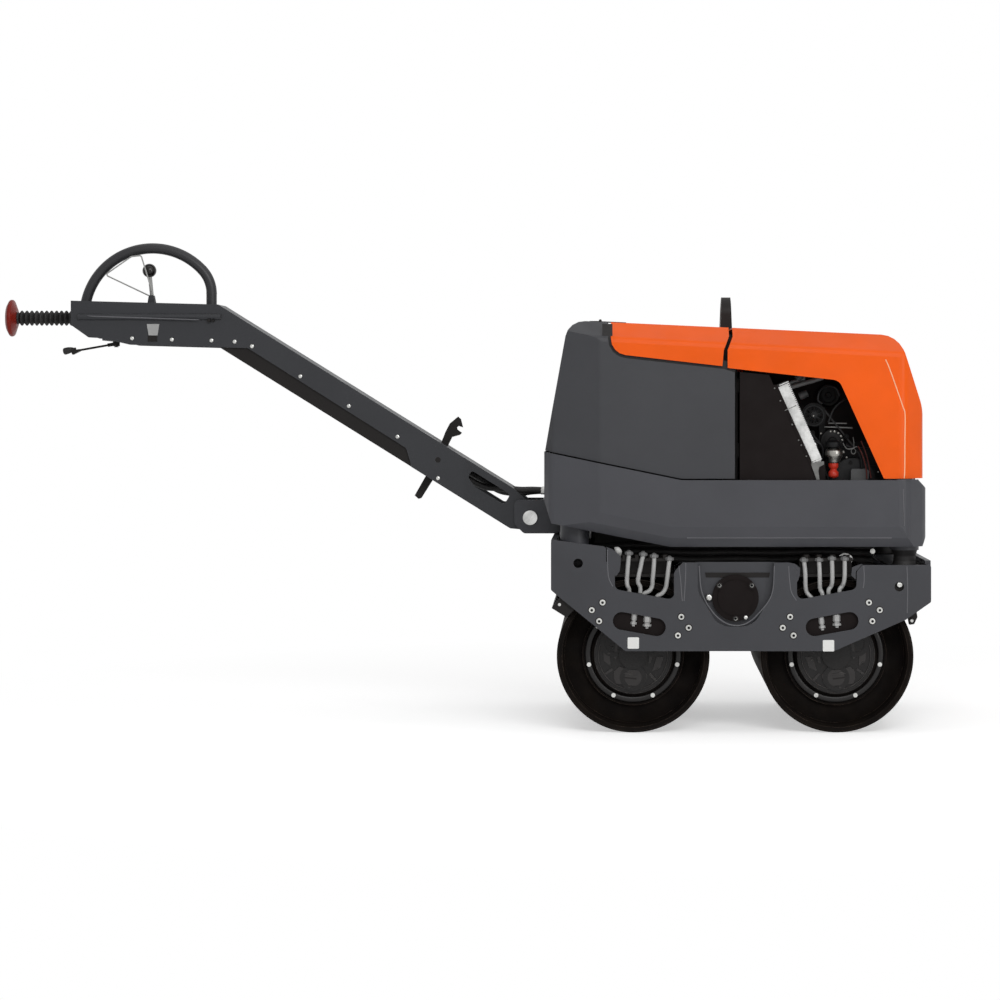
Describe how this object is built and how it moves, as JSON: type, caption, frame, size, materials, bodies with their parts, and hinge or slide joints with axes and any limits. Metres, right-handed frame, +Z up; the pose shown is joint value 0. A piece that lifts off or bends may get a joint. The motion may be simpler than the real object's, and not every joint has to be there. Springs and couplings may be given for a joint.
{
  "type": "walk behind vibratory roller",
  "caption": "Walk behind vibratory roller with driven drums in a low frame, tilting engine covers, and a lifting drawbar that ends in a control head with a loop handle",
  "frame": {"origin": "under the middle of the part's outline, on the ground", "axes": "+X along the roller toward its front end, away from the drawbar; +Y across to the operator's left; +Z up"},
  "size_m": [2.6136, 0.836, 1.3642],
  "materials": {
    "frame_dark": "satin dark grey paint with light wear",
    "hood_orange": "satin orange paint",
    "black_paint": "satin black paint",
    "drum_steel": "dark rolled steel with rubbed rims",
    "bright_steel": "worn bare steel",
    "zinc_fastener": "zinc plated",
    "cast_grey": "cast surface",
    "engine_black": "painted casting",
    "tank_plastic": "moulded matt plastic",
    "radiator_metal": "plain metal with fine fins",
    "rubber_black": "matt rubber",
    "red_plastic": "glossy red",
    "knob_plastic": "glossy black",
    "white_plastic": "plain white"
  },
  "bodies": {
    "roller": {"side_plate_right": "frame_dark", "side_plate_left": "frame_dark", "front_bumper": "frame_dark", "rear_bumper": "frame_dark", "cross_beams": "frame_dark", "exciter_housing": "frame_dark", "exciter_covers": "frame_dark", "exciter_bearings": "bright_steel", "front_drum_carriers": "black_paint", "rear_drum_carriers": "black_paint", "drive_motors": "engine_black", "motor_fittings": "zinc_fastener", "frame_bolts": "zinc_fastener", "scrapers": "black_paint", "isolators": "rubber_black", "hydraulic_pipes": "bright_steel", "valve_blocks": "black_paint", "engine_bed": "frame_dark", "lifting_frame": "black_paint", "rear_cover": "frame_dark", "bay_panel": "black_paint", "hinge_brackets": "black_paint", "engine_block": "engine_black", "cylinder_head": "engine_black", "alternator": "cast_grey", "air_filter": "tank_plastic", "muffler": "bright_steel", "fuel_filter": "red_plastic", "radiator": "radiator_metal", "fuel_tank": "tank_plastic", "hydraulic_tank": "tank_plastic", "battery": "tank_plastic", "hydraulic_pump": "cast_grey", "drive_belt": "rubber_black", "drawbar_bracket": "frame_dark", "drawbar_pin": "bright_steel"},
    "exciter": {"exciter_shaft": "bright_steel"},
    "front_drum_set": {"front_drum": "drum_steel", "front_drum_hub": "black_paint", "front_hub_bolts": "zinc_fastener"},
    "rear_drum_set": {"rear_drum": "drum_steel", "rear_drum_hub": "black_paint", "rear_hub_bolts": "zinc_fastener"},
    "crank": {"crank_pulley": "engine_black"},
    "fan": {"fan_pulley": "engine_black"},
    "hood": {"front_hood": "hood_orange", "hood_hinge_leaves": "black_paint"},
    "lid": {"rear_lid": "hood_orange", "lid_hinge_leaves": "black_paint"},
    "drawbar": {"drawbar_arm": "frame_dark", "arm_belly_cover": "black_paint", "loop_handle": "frame_dark", "stop_bellows": "rubber_black", "hose_bundle": "rubber_black"},
    "travel": {"travel_lever": "bright_steel", "travel_knob": "knob_plastic"},
    "bail_wire": {"bail": "bright_steel"},
    "stop_button": {"stop_pad": "red_plastic"},
    "throttle": {"throttle_lever": "black_paint"},
    "lock": {"lock_hook": "black_paint"}
  },
  "joints": [
    {"name": "front_drum_spin", "type": "hinge", "parent": "roller", "child": "front_drum_set", "pos_m": [1.05281, 0, 0.21], "axis": [0, 1, 0], "continuous": true},
    {"name": "rear_drum_spin", "type": "hinge", "parent": "roller", "child": "rear_drum_set", "pos_m": [0.49281, 0, 0.21], "axis": [0, 1, 0], "continuous": true},
    {"name": "exciter_spin", "type": "hinge", "parent": "roller", "child": "exciter", "pos_m": [0.77281, 0, 0.3716], "axis": [0, 1, 0], "continuous": true},
    {"name": "crank_spin", "type": "hinge", "parent": "roller", "child": "crank", "pos_m": [1.10281, 0, 0.69], "axis": [0, 1, 0], "continuous": true},
    {"name": "fan_spin", "type": "hinge", "parent": "roller", "child": "fan", "pos_m": [0.99481, 0, 0.872], "axis": [0, 1, 0], "continuous": true},
    {"name": "hood_tilt", "type": "hinge", "parent": "roller", "child": "hood", "pos_m": [1.27981, 0, 0.718], "axis": [0, 1, 0], "range_deg": [0, 60]},
    {"name": "lid_tilt", "type": "hinge", "parent": "roller", "child": "lid", "pos_m": [0.40181, 0, 1.13372], "axis": [0, -1, 0], "range_deg": [0, 70]},
    {"name": "drawbar_lift", "type": "hinge", "parent": "roller", "child": "drawbar", "pos_m": [0.20081, 0, 0.578], "axis": [0, 1, 0], "range_deg": [0, 45], "deforming": ["hose_bundle"]},
    {"name": "travel_swing", "type": "hinge", "parent": "drawbar", "child": "travel", "pos_m": [-0.88682, 0, 1.16123], "axis": [0, 1, 0], "range_deg": [-20, 20]},
    {"name": "bail_press", "type": "hinge", "parent": "drawbar", "child": "bail_wire", "pos_m": [-0.88682, -0.03, 1.20623], "axis": [0, 1, 0], "range_deg": [-10, 0], "stiffness_Nm_per_rad": 0.8, "springref_deg": 28.65},
    {"name": "stop_press", "type": "slide", "parent": "drawbar", "child": "stop_button", "axis": [1, 0, 0], "range_m": [0, 0.03], "stiffness_N_per_m": 300, "springref_m": -0.01, "deforming": ["stop_bellows"]},
    {"name": "throttle_swing", "type": "hinge", "parent": "drawbar", "child": "throttle", "pos_m": [-0.98982, -0.024, 1.08223], "axis": [0, 0, 1], "range_deg": [-25, 25]},
    {"name": "lock_swing", "type": "hinge", "parent": "drawbar", "child": "lock", "pos_m": [-0.06252, 0, 0.74191], "axis": [0, 1, 0], "range_deg": [-8, 12]}
  ],
  "couplings": [
    {"joint": "rear_drum_spin", "follows": "front_drum_spin", "ratio": 1},
    {"joint": "fan_spin", "follows": "crank_spin", "ratio": 1.8788}
  ]
}
